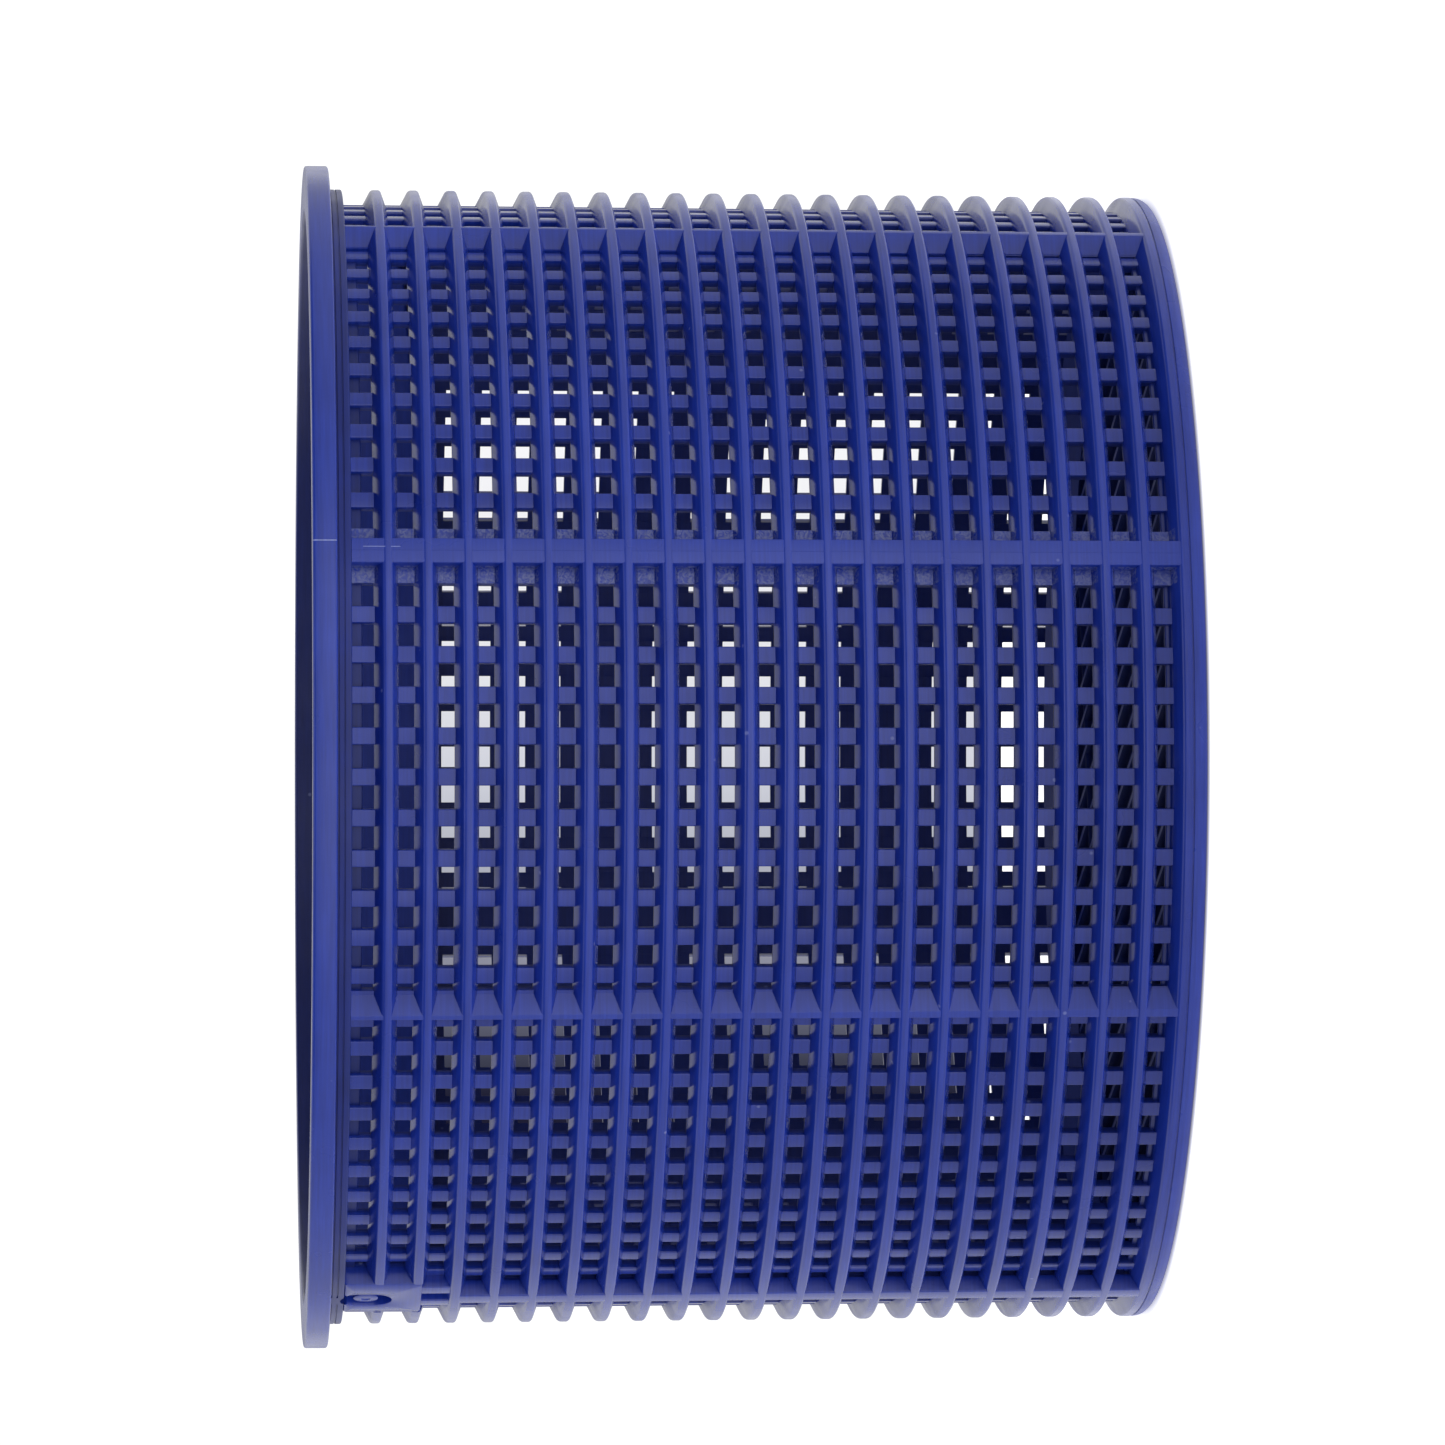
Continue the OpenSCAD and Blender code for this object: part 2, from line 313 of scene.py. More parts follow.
def node(tree, kind, settings=None, **links):
    """Adds a node, sets its properties, and sets or links its inputs. An
    input is given by its number, as i0, or by its name, where a double
    underscore stands for a space."""
    n = tree.nodes.new(kind)
    for key, value in (settings or {}).items():
        setattr(n, key, value)
    for key, value in links.items():
        by_number = key[0] == "i" and key[1:].isdigit()
        socket = n.inputs[int(key[1:]) if by_number else key.replace("__", " ")]
        if isinstance(value, bpy.types.NodeSocket):
            tree.links.new(value, socket)
        else:
            socket.default_value = value
    return n


def per_mm(size):
    """Texture scale, in repeats to the metre, for a pattern of a size in mm."""
    return 1000 / size


# %% Polypropylene
def moulded_polypropylene(name, deep, bright, roughness, ior=1.49, inside_shade_level=0.5, worn=0.0):
    """The flow marks swing between two blues, deep and bright. On the inside the colour is multiplied by a
    factor, a painted shade for the dark inside of the basket, and worn is the strength of scratches."""
    material = bpy.data.materials.new(name)
    material.use_nodes = True
    t = material.node_tree
    t.nodes.clear()
    rgba = {"data_type": "RGBA"}
    multiply = {"operation": "MULTIPLY"}
    place = node(t, "ShaderNodeTexCoord").outputs["Object"]
    # Flow of the melt down the wall: bands 14 mm long and 5 mm wide
    stretch = node(t, "ShaderNodeMapping", i0=place, i3=(1.0, 1.0, 0.35)).outputs[0]
    flow = node(t, "ShaderNodeTexNoise", Vector=stretch, Scale=per_mm(5.0), Detail=3.0).outputs["Fac"]
    cloud = node(t, "ShaderNodeTexNoise", Vector=place, Scale=per_mm(28.0), Detail=2.0).outputs["Fac"]
    both = node(t, "ShaderNodeMath", {"operation": "MULTIPLY_ADD"}, i0=flow, i1=0.5, i2=cloud).outputs[0]
    shade = node(t, "ShaderNodeMapRange", i0=both, i1=0.5, i2=1.0).outputs[0]
    colour = node(t, "ShaderNodeMix", rgba, i0=shade, i6=linear(deep), i7=linear(bright)).outputs[2]
    # The cavity was turned, which left fine marks round the wall, 0.4 mm apart
    along = node(t, "ShaderNodeMapping", i0=place, i3=(0.04, 0.04, 1.0)).outputs[0]
    marks = node(t, "ShaderNodeTexNoise", Vector=along, Scale=per_mm(0.4), Detail=2.0).outputs["Fac"]
    marked = node(t, "ShaderNodeMapRange", i0=marks, i1=0.3, i2=0.7, i3=0.88, i4=1.12).outputs[0]
    colour = node(t, "ShaderNodeVectorMath", {"operation": "SCALE"}, i0=colour, i3=marked).outputs[0]
    # The mould's inner half was left unpolished, so the inside is more matt; its
    # colour is made darker, a painted shade. The change lies between the radii 86.9 and 87.8 mm
    flat = node(t, "ShaderNodeVectorMath", multiply, i0=place, i1=(1.0, 1.0, 0.0)).outputs[0]
    out = node(t, "ShaderNodeVectorMath", {"operation": "LENGTH"}, i0=flat).outputs["Value"]
    outer = node(t, "ShaderNodeMapRange", i0=out, i1=0.0869, i2=0.0878, i3=0.0, i4=1.0).outputs[0]
    inner = node(t, "ShaderNodeMapRange", i0=outer, i3=inside_shade_level, i4=1.0).outputs[0]
    colour = node(t, "ShaderNodeVectorMath", {"operation": "SCALE"}, i0=colour, i3=inner).outputs[0]
    if worn:
        # Scratches 0.8 mm wide on the faces of the bars, and none on the ribs,
        # which stand further out than 89.3 mm
        scratch = node(t, "ShaderNodeTexNoise", Vector=place, Scale=per_mm(0.8), Detail=5.0, Distortion=1.5)
        scratch = scratch.outputs["Fac"]
        scratch = node(t, "ShaderNodeMapRange", i0=scratch, i1=0.4, i2=0.65, i3=0.0, i4=worn).outputs[0]
        low = node(t, "ShaderNodeMapRange", i0=out, i1=0.0889, i2=0.0893, i3=1.0, i4=0.0).outputs[0]
        low = node(t, "ShaderNodeMath", multiply, i0=low, i1=outer).outputs[0]
        low = node(t, "ShaderNodeMath", multiply, i0=low, i1=scratch).outputs[0]
        colour = node(t, "ShaderNodeMix", rgba, i0=low, i6=colour, i7=linear("#6F79AA")).outputs[2]
    # Specks of dust and dents up to 0.8 mm wide, about 9 mm apart
    specks = node(t, "ShaderNodeTexVoronoi", Vector=place, Scale=per_mm(9.0)).outputs["Distance"]
    speck = node(t, "ShaderNodeMapRange", i0=specks, i1=0.02, i2=0.042, i3=0.45, i4=0.0).outputs[0]
    colour = node(t, "ShaderNodeMix", rgba, i0=speck, i6=colour, i7=linear("#8E99D2")).outputs[2]
    # The skin: an orange peel of 0.9 mm and waves of 7 mm where it sank
    peel = node(t, "ShaderNodeTexNoise", Vector=place, Scale=per_mm(0.9), Detail=2.0).outputs["Fac"]
    waves = node(t, "ShaderNodeTexNoise", Vector=place, Scale=per_mm(7.0), Detail=1.0).outputs["Fac"]
    bump = node(t, "ShaderNodeBump", Strength=0.35, Distance=0.00004, Height=waves)
    bump = node(t, "ShaderNodeBump", Strength=0.3, Distance=0.00001, Height=peel, Normal=bump.outputs[0])
    bump = node(t, "ShaderNodeBump", Strength=0.35, Distance=0.00001, Height=marks, Normal=bump.outputs[0])
    patch = node(t, "ShaderNodeTexNoise", Vector=place, Scale=per_mm(11.0), Detail=3.0).outputs["Fac"]
    sleek, dull = roughness - 0.05, roughness + 0.08
    rough = node(t, "ShaderNodeMapRange", i0=patch, i1=0.3, i2=0.7, i3=sleek, i4=dull).outputs[0]
    matt = node(t, "ShaderNodeMapRange", i0=outer, i3=0.15, i4=0.0).outputs[0]
    rough = node(t, "ShaderNodeMath", {"operation": "ADD"}, i0=rough, i1=matt).outputs[0]
    normal = bump.outputs[0]
    skin = node(t, "ShaderNodeBsdfPrincipled", Base__Color=colour, IOR=ior, Roughness=rough, Normal=normal)
    node(t, "ShaderNodeOutputMaterial", Surface=skin.outputs[0])
    return material


# The same plastic all over. Inside the wall it is darker, a painted shade, and
# on the handle less so. Under the flange it is darker and more matt, a painted
# shade; beside the parting ribs it is scratched; on the base rim it is paler, a
# painted light; on the floor it is matt, as the mould's inner half left it, and
# darker, a painted shade; and the flash is pale, a painted glint
royal = ("#1C359C", "#233DAA")
basket_blue = moulded_polypropylene("moulded_polypropylene_royal_blue", *royal, 0.2)
handle_blue = moulded_polypropylene("moulded_polypropylene_handle_blue", *royal, 0.22, inside_shade_level=0.9)
painted_glint_blue = moulded_polypropylene("polypropylene_painted_glint", "#7583CC", "#96A2DC", 0.45)
painted_shade_blue = moulded_polypropylene("moulded_polypropylene_painted_shade", "#142672", "#1A2F88", 0.35, 1.4)
worn_blue = moulded_polypropylene("worn_polypropylene", *royal, 0.22, worn=0.8)
painted_light_base_blue = moulded_polypropylene("polypropylene_base_painted_light", "#2B40A4", "#334AB4", 0.3, 1.45)
painted_shade_floor_blue = moulded_polypropylene("matt_polypropylene_painted_shade_floor", "#101F5E", "#14266A", 0.45, 1.12)
print("materials:", basket_blue.name, handle_blue.name)

# %% [markdown]
# ## The lattice wall
# Two panels fill a quarter of the wall, one by the pivot and one by the
# parting line. Each panel has the hoops between its two ribs and a bar every
# 4 degrees. The closed skirt under the collar is a piece of its own, because
# it is coloured darker, a painted shade for the shade of the flange.


# %% Panels
def bar(top, k, about=0):
    """Bar number k, counted in steps from an angle."""
    return wall_slab(top, wall_end, about + k * step - bar_half, about + k * step + bar_half, bar_r)


for i in range(1, 9):
    if i % 4 < 2:
        start, stop, first, last = pivot_half, ramp_start, 2, 10
    else:
        start, stop, first, last = ramp_stop, 90 - parting_half, 12, 21
    shapes = [hoop(a, start, stop) for a in hoop_depths]
    shapes += [bar(wall_top, k) for k in range(first, last + 1)]
    panel, quarter = [f"wall_panel_{i}"], (i + 1) // 2
    make_piece(f"wall_lattice_{i}", shapes, basket_blue, "basket", panel, quarter)
    make_piece(f"wall_skirt_{i}", [skirt(start, stop)], painted_shade_blue, "basket", panel, quarter)
print("panels made")

# %% [markdown]
# ## Ribs
# A flush rib runs down the parting line and below each pivot, level with the
# tips of the hoops. Between them a ramp rib slopes along the way the mould
# opens, because a steep side there would lock the moulding in the mould.


# %% Ribs
def ramp_shapes():
    """The rib's upright side lies on the ray at ramp_side, and its slope at
    the place ramp_y along Y: x = sqrt(r^2 - y^2)."""
    mid, t = math.radians(45.0), math.radians(ramp_side)
    corners = []
    for a in (wall_top, last_hoop):
        tip, foot = tip_r(a) - rib_inset, bar_r(a) - root
        upright = [(r * math.cos(t), r * math.sin(t)) for r in (tip, foot)]
        slope = [(math.sqrt(r * r - ramp_y**2), ramp_y) for r in (tip, foot)]
        p = np.array([upright[0], slope[0], slope[1], upright[1]])
        out = p[:, 0] * math.cos(mid) + p[:, 1] * math.sin(mid)
        side = -p[:, 0] * math.sin(mid) + p[:, 1] * math.cos(mid)
        corners.append(rounded(np.stack([out, side], 1), [0.2, 0.2, 0, 0], 3))
    shapes = [carried(corners, (wall_top, last_hoop), 45.0)]
    shapes.append(strip(wall_top, wall_end, ramp_start, ramp_stop, bar_r))
    return shapes + [hoop(a, ramp_start, ramp_stop) for a in hoop_depths]


def flash_line(top, end, angle, width):
    """The thin ridge that the melt leaves where the halves of the mould meet,
    level with the tips of the hoops."""
    sunk, crest, edge = 0.3, 0.01, 0.03
    sections = [slab(tip_r(a) - sunk, tip_r(a) - crest, -width / 2, width / 2, edge) for a in (top, end)]
    return carried(sections, (top, end), angle)


def web_r(a):
    """Between the bars below a pivot only a thin web closes the windows."""
    return in_r(a) + 0.3


def cheek_r(a):
    """Cheeks beside the middle bar, next to the plate."""
    return tip_r(a) - 0.5


for q in range(1, 5):
    make_piece(f"ramp_rib_moulded_{q}", ramp_shapes(), basket_blue, "basket", [f"ramp_rib_{q}"], q)
for i, mid in ((1, 270), (2, 90)):
    start, stop = mid - parting_half, mid + parting_half
    shapes = [strip(wall_top, wall_end, start, stop, bar_r), rib(wall_top, last_hoop, mid)]
    shapes += [hoop(a, start, stop) for a in hoop_depths]
    shapes.append(flash_line(wall_top, last_hoop, mid, 0.09))
    make_piece(f"parting_rib_moulded_{i}", shapes, worn_blue, "basket", [f"parting_rib_{i}"])
# The plate of a pivot takes the place of the first two hoops
plate_end = hoop_depths[1] + hoop_tip / 2
cheek_place = 2.2
for i, mid in ((1, 0), (2, 180)):
    start, stop = mid - pivot_half, mid + pivot_half
    shapes = [strip(plate_end, wall_end, start, stop, web_r), rib(hoop_depths[2], last_hoop, mid)]
    shapes += [bar(plate_end, k, mid) for k in (-1, 0, 1)]
    for k in (-cheek_place, cheek_place):
        shapes.append(wall_slab(plate_end, hoop_depths[2], mid + k - 1, mid + k + 1, cheek_r))
    shapes += [hoop(a, start, stop) for a in hoop_depths[2:]]
    make_piece(f"pivot_rib_moulded_{i}", shapes, basket_blue, "basket", [f"pivot_rib_{i}"])
print("ribs made")

# %% [markdown]
# ## Rim and base
# All are sections turned about the axis. One half of the flange stands 0.08 mm
# further out than the other, as the halves of the mould left them, and a thin
# flash runs between them. The collar has a fine groove, and an undercut below
# the flange.

# %% Rim, collar and base
shapes = []
for r, start in ((flange_r - 0.03, 90), (flange_r - 0.11, -90)):
    corners = [(in_r(flange_t), flange_t), (r, flange_t), (r, 0), (in_r(0), 0)]
    shapes.append(turned(rounded(corners, [0, 0.45, 0.45, 0.4], 5), start, start + 180))
make_piece("rim_flange_moulded", shapes, basket_blue, "basket", ["rim_flange"])
flash_r, flash_in, flash_edge, flash_half = flange_r - 0.02, 0.4, 0.1, 0.06
corners = [(flash_r - flash_in, flange_t - flash_edge), (flash_r, flange_t - flash_edge)]
corners += [(flash_r, flash_edge), (flash_r - flash_in, flash_edge)]
flash = rounded(corners, [0, 0.4, 0.4, 0], 4)
shapes = [turned(flash, mid - flash_half, mid + flash_half) for mid in (90, 270)]
# A thicker piece of flash lies on the first parting rib, near the mouth
shapes.append(flash_line(7.6, 13.2, 270.35, 0.12))
# The flash is coloured pale, a painted glint along its thin ridge
make_piece("parting_flash", shapes, painted_glint_blue, "basket", ["rim_flange"])
groove_r, undercut_r = 90.45, 90.4
corners = [(in_r(wall_top), wall_top), (body_r, wall_top), (body_r, 4.95), (groove_r, 4.9), (groove_r, 4.75)]
corners += [(body_r, 4.7), (body_r, 4.05), (undercut_r, 4.0), (undercut_r, flange_t)]
corners.append((in_r(flange_t), flange_t))
collar = rounded(corners, [0, 0.3] + [0] * 8, 4)


def pocket_end(side):
    """Depth at which the pocket's round end begins at a sideways place. Its
    middle lies pocket_rise above the pivot."""
    return pivot_depth - pocket_rise - math.sqrt(max(pocket_r**2 - side**2, 0))


# The pocket of each pivot reaches 0.6 mm up into the collar. There the collar
# is made of 8 narrow stretches, each cut back to the pocket's floor
shapes = []
notch_half = 1.12
cuts = np.linspace(-notch_half, notch_half, 9)
for t in (0, 180):
    shapes.append(turned(collar, t + cuts[-1], t + 180 + cuts[0]))
    for c0, c1 in zip(cuts[:-1], cuts[1:]):
        end = min(pocket_end(undercut_r * math.radians((c0 + c1) / 2)), wall_top)
        corners = [(in_r(wall_top), wall_top), (bar_r(wall_top), wall_top), (bar_r(end), end)]
        corners += [(body_r, end), (body_r, flange_t), (in_r(flange_t), flange_t)]
        shapes.append(turned(rounded(corners, [0] * 6), t + c0, t + c1))
# The collar is coloured darker, a painted shade under the flange
make_piece("shoulder_collar_moulded", shapes, painted_shade_blue, "basket", ["shoulder_collar"])
base_out, base_edge, cove = tip_r(wall_end) - rib_inset, 1.7, 4
ring_in = in_r(wall_end) - cove
corners = [(ring_in, basket_h)]
for t in np.linspace(0, math.pi / 2, 9):
    corners.append((base_out - base_edge * (1 - math.sin(t)), basket_h - base_edge * (1 - math.cos(t))))
corners += [(base_out, wall_end), (in_r(wall_end), wall_end)]
corners += [(in_r(wall_end - cove), wall_end - cove), (ring_in, wall_end)]
base = rounded(corners, [0] * 10 + [0.12, 0, 0, 0], 4)
# The base rim is coloured paler, a painted light on its rounded edge
make_piece("base_rim_moulded", [turned(base, 0, 360)], painted_light_base_blue, "basket", ["base_rim"])
print("rim, collar and base made")

# %% [markdown]
# ## Grille
# The floor has long slots between beams with round upper edges, and cross
# ribs between the ends of the slots. The beams are matt and coloured darker, a
# painted shade, and a narrow crest along each is glossy, in the plain blue.

# %% Beams
slot_pitch, slot_w, slot_l, cross_w = 6.0, 3.0, 36.0, 3.0
beam_w, beam_edge, beam_foot = slot_pitch - slot_w, 1.35, 0.01
crest_w, crest_edge, crest_foot = 1.0, 0.1, 1.5
ring_w = 1.2


def beam(wide, reach, place, turned_round, edge=beam_edge, low=beam_foot):
    """Straight beam across the floor. Its top lies 0.01 mm below the floor's,
    a cross rib's 0.02 mm and a crest's 0.005 mm, so that no two faces lie in
    the same plane."""
    top = basket_h - wall_end - 0.01 * (2 if turned_round else 1) + (0.005 if edge < 1 else 0)
    corners = [(-wide / 2, low), (wide / 2, low), (wide / 2, top), (-wide / 2, top)]
    section = rounded(corners, [0.2, 0.2, edge, edge], 6)
    rings = []
    for end in (-reach, reach):
        xyz = np.stack([section[:, 0] + place, end + 0 * section[:, 0], section[:, 1]], 1)
        rings.append(xyz[:, [1, 0, 2]] if turned_round else xyz)
    return ringed(rings)


def chord(place, wide, spare=None):
    """Half the length that a beam has inside the ring: sqrt(r^2 - p^2), with
    p the place of its outer side, which is kept a spare width off the ring."""
    outer = abs(place) + wide / 2
    if spare is not None:
        outer = min(outer, ring_in - spare)
    return math.sqrt(ring_in**2 - outer**2)


crests = []
corners = [(ring_in - ring_w, basket_h), (ring_in, basket_h)]
corners += [(ring_in, wall_end), (ring_in - ring_w, wall_end)]
shapes = [turned(rounded(corners, [0] * 4), 0, 360)]
beams = math.floor((ring_in - slot_w) / slot_pitch)
for i in range(-beams - 1, beams + 1):
    x = (i + 0.5) * slot_pitch
    shapes.append(beam(beam_w, chord(x, beam_w, 2.2), x, False))
    crests.append(beam(crest_w, chord(x, beam_w, 1), x, False, crest_edge, crest_foot))
for y in (-1.5 * slot_l, -0.5 * slot_l, 0.5 * slot_l, 1.5 * slot_l):
    shapes.append(beam(cross_w, chord(y, cross_w), y, True))
# The beams are coloured darker, a painted shade inside the basket
make_piece("base_grille_moulded", shapes, painted_shade_floor_blue, "basket", ["base_grille"])
make_piece("base_grille_crests", crests, basket_blue, "basket", ["base_grille"])
print("grille made")

# %% [markdown]
# ## Pivots
# A thick plate holds each pin. Round the pin's end the plate has a pocket
# with round ends, which runs on into the collar. Every ring of points lies on
# one ray after another from the pivot, so a ring is given by its reach along
# those rays and by its radius. Where the pocket comes closer to the plate's
# outline than lip_w, the plate is open there.

# %% Plates and pins
unroll_r, lip_w, lip_min = 90, 0.4, 0.36
plate_half = math.radians(pivot_half) * unroll_r
plate_top, plate_foot = wall_top - pivot_depth, plate_end - pivot_depth


def reach_of_rect(t, inset):
    """Distance from the pivot to the plate's outline along the ray t."""
    c, s = np.cos(t), np.sin(t)
    across = (plate_half - inset) / np.maximum(np.abs(c), 1e-9)
    along = np.where(s > 0, plate_foot - inset, -plate_top - inset) / np.maximum(np.abs(s), 1e-9)
    return np.minimum(across, along)


def reach_of_pocket(t, grow):
    """Distance to an upright outline with round ends, along the ray t: the
    straight sides lie pocket_r from its axis, and the round ends are about
    points pocket_rise off the pivot."""
    r, off = pocket_r + grow, pocket_rise
    c, s = np.abs(np.cos(t)), np.abs(np.sin(t))
    flat = r / np.maximum(c, 1e-9)
    end = off * s + np.sqrt(np.maximum(r * r - (off * c) ** 2, 0))
    return np.where(flat * s < off, flat, end)


rays = np.linspace(0, 2 * math.pi, 96, endpoint=False)
for across, along in ((1, plate_foot), (1, plate_top), (-1, plate_foot), (-1, plate_top)):
    rays = np.append(rays, math.atan2(along, across * plate_half) % (2 * math.pi))
rays = np.sort(rays)


def plate_ring(reach, r):
    """The side runs round the wall, so x = r cos(side / unroll_r)."""
    side, drop = reach * np.cos(rays), reach * np.sin(rays)
    turn = side / unroll_r
    return np.stack([r * np.cos(turn), r * np.sin(turn), basket_h - pivot_depth - drop], 1)


def pivot_plate_shape():
    """Towards the mouth the pocket runs out of the plate, so there the plate
    keeps the level of the pocket's floor, and its outline ends both."""
    face, low = tip_r(pivot_depth) - rib_inset, bar_r(pivot_depth)
    outline, hole = reach_of_rect(rays, 0), reach_of_pocket(rays, 0)
    is_open = hole > outline - lip_w
    rings = [plate_ring(outline, in_r(pivot_depth))]
    for inset, level in ((0, 0.35), (0.1, 0.12), (0.35, 0)):
        reach = np.where(is_open, outline, reach_of_rect(rays, inset))
        rings.append(plate_ring(reach, np.where(is_open, low, face - level)))
    for grow, level in ((0.3, 0), (0.08, 0.1), (0, 0.35)):
        reach = np.where(is_open, outline, np.minimum(reach_of_pocket(rays, grow), outline - lip_min))
        rings.append(plate_ring(reach, np.where(is_open, low, face - level)))
    rings.append(plate_ring(np.minimum(hole, outline), low))
    bore = np.full(len(rays), bore_r)
    rings += [plate_ring(bore, low), plate_ring(bore, in_r(pivot_depth))]
    return ringed(rings, True)


def fold(xyz):
    """From the strap's own plane to its place: turned down about the X axis
    by handle_rest and lifted to the pivots."""
    t = math.radians(-handle_rest)
    y = xyz[:, 1] * math.cos(t) - xyz[:, 2] * math.sin(t)
    z = xyz[:, 1] * math.sin(t) + xyz[:, 2] * math.cos(t) + basket_h - pivot_depth
    return np.stack([xyz[:, 0], y, z], 1)


def pin_shape(side):
    """Pin with a round edge and a dished end, along X to one side."""
    t = np.linspace(0, 2 * math.pi, 48, endpoint=False)
    end = tip_r(pivot_depth) - rib_inset - 0.3
    profile = [(pin_r, strap_out - 0.05), (pin_r, end - 0.3), (1.92, end - 0.1), (1.72, end)]
    profile += [(0.8, end), (0.65, end - 0.12), (0.1, end - 0.15)]
    return ringed([fold(np.stack([side * x + 0 * t, r * np.cos(t), r * np.sin(t)], 1)) for r, x in profile])


strap_out = in_r(0) - strap_gap
for i, q, side in ((1, 1, 1), (2, 3, -1)):
    plate, pin = [pivot_plate_shape()], [pin_shape(side)]
    make_piece(f"pivot_plate_moulded_{i}", plate, basket_blue, "basket", [f"pivot_plate_{i}"], q)
    make_piece(f"pivot_pin_moulded_{i}", pin, handle_blue, "handle", [f"pivot_pin_{i}"])
print("plates and pins made")

# %% [markdown]
# ## Handle
# The strap is half a flat hoop with rounded edges, and round ends at the
# pivots: there its half width is sqrt((w / 2)^2 - (r sin t)^2).

# %% Strap
overhang = math.degrees(math.asin(strap_w / 2 / strap_out))
ease = np.linspace(0, math.pi / 2, 14)
before, after = -overhang * np.cos(ease)[:-1], 180 + overhang * np.sin(ease)[1:]
angles = np.concatenate([before, np.linspace(0, 180, 121), after])
rings = []
for t in np.radians(angles):
    beyond = strap_out * math.sin(t) if math.sin(t) < 0 else 0.0
    half = max(math.sqrt(max((strap_w / 2) ** 2 - beyond**2, 0)), 0.35)
    strap_in = strap_out - strap_t
    corners = [(strap_in, -half), (strap_out, -half), (strap_out, half), (strap_in, half)]
    section = rounded(corners, [0.6] * 4, 4)
    rings.append(fold(np.stack([section[:, 0] * math.cos(t), section[:, 0] * math.sin(t), section[:, 1]], 1)))
make_piece("handle_strap_moulded", [ringed(rings)], handle_blue, "handle", ["handle_strap"])
print("strap made")

# %% [markdown]
# ## Studio
# The basket stands on a pale floor in a white tent. The panels of the tent
# are lit: a strong one on the side of the camera and weaker ones all round.
# In front, a dark gap above the horizon keeps the faces deep in colour. To
# the camera the tent is plain white. The floor is a little brighter to the
# camera than it is to the basket, so it reads as white and keeps the shadow.
# Right under the basket it doesn't glow.

# %% Floor
count, floor_r, floor_drop = 96, 0.25, 0.0002
ring = np.radians(np.linspace(0, 360, count, endpoint=False))
floor_points = np.stack([floor_r * np.cos(ring), floor_r * np.sin(ring), 0 * ring - floor_drop], 1)
floor_mesh = bpy.data.meshes.new("studio_floor")
floor_mesh.from_pydata(floor_points.tolist(), [], [list(range(count))])
floor = bpy.data.objects.new("studio_floor", floor_mesh)
bpy.context.scene.collection.objects.link(floor)
paper = bpy.data.materials.new("matt_white_paper")
paper.use_nodes = True
t = paper.node_tree
t.nodes.clear()
path = node(t, "ShaderNodeLightPath").outputs
either = {"operation": "MAXIMUM"}
seen = node(t, "ShaderNodeMath", either, i0=path["Is Camera Ray"], i1=path["Is Transmission Ray"]).outputs[0]
place = node(t, "ShaderNodeTexCoord").outputs["Object"]
grain = node(t, "ShaderNodeTexNoise", Vector=place, Scale=per_mm(1.5)).outputs["Fac"]
dim, pale = linear("#E9E9EA"), linear("#EFEFF0")
tone = node(t, "ShaderNodeMix", {"data_type": "RGBA"}, i0=grain, i6=dim, i7=pale).outputs[2]
matt = node(t, "ShaderNodeBsdfDiffuse", Color=tone).outputs[0]
glow = node(t, "ShaderNodeMapRange", i0=seen, i3=0.5, i4=0.85).outputs[0]
# The glow begins at the edge of the base, between 86 and 90.5 mm
apart = node(t, "ShaderNodeVectorMath", {"operation": "LENGTH"}, i0=place).outputs["Value"]
clear = node(t, "ShaderNodeMapRange", i0=apart, i1=0.086, i2=0.0905).outputs[0]
glow = node(t, "ShaderNodeMath", {"operation": "MULTIPLY"}, i0=glow, i1=clear).outputs[0]
lift = node(t, "ShaderNodeEmission", Color=(1, 1, 1, 1), Strength=glow).outputs[0]
node(t, "ShaderNodeOutputMaterial", Surface=node(t, "ShaderNodeAddShader", i0=matt, i1=lift).outputs[0])
floor_mesh.materials.append(paper)
print("floor made")

# %% Light
world = bpy.data.worlds.new("white_tent")
bpy.context.scene.world = world
world.use_nodes = True
t = world.node_tree
way = node(t, "ShaderNodeTexCoord").outputs["Generated"]
high = node(t, "ShaderNodeSeparateXYZ", Vector=way).outputs["Z"]
smooth = {"interpolation_type": "SMOOTHSTEP"}
# Panels of the tent: strength against the angle from the camera's side, in
# degrees, clockwise as seen from above. The camera's side is at -110 degrees
# from X, so an angle lies on the ramp, which begins at -180 degrees, at
# (70 - angle) / 360 of its length. The ramp holds half of each strength
panel_light = [(-180, 0.55), (-158, 1.05), (-138, 0.66), (-110, 0.72), (-90, 0.86), (-60, 0.8), (-30, 1.6)]
panel_light += [(0, 1.55), (25, 1.5), (45, 1.0), (100, 0.98), (140, 0.97), (160, 0.9)]
flat = node(t, "ShaderNodeSeparateXYZ", Vector=way).outputs
turn = node(t, "ShaderNodeMath", {"operation": "ARCTAN2"}, i0=flat["Y"], i1=flat["X"]).outputs[0]
turn = node(t, "ShaderNodeMapRange", i0=turn, i1=-math.pi, i2=math.pi).outputs[0]
panels = node(t, "ShaderNodeValToRGB", Fac=turn)
panels.color_ramp.interpolation = "EASE"
for stop in panels.color_ramp.elements:
    stop.color = (0.45, 0.45, 0.45, 1)
for angle, strength in panel_light:
    stop = panels.color_ramp.elements.new((70 - angle) % 360 / 360)
    stop.color = (strength / 2, strength / 2, strength / 2, 1)
front = node(t, "ShaderNodeMath", {"operation": "MULTIPLY"}, i0=panels.outputs[0], i1=2.0).outputs[0]
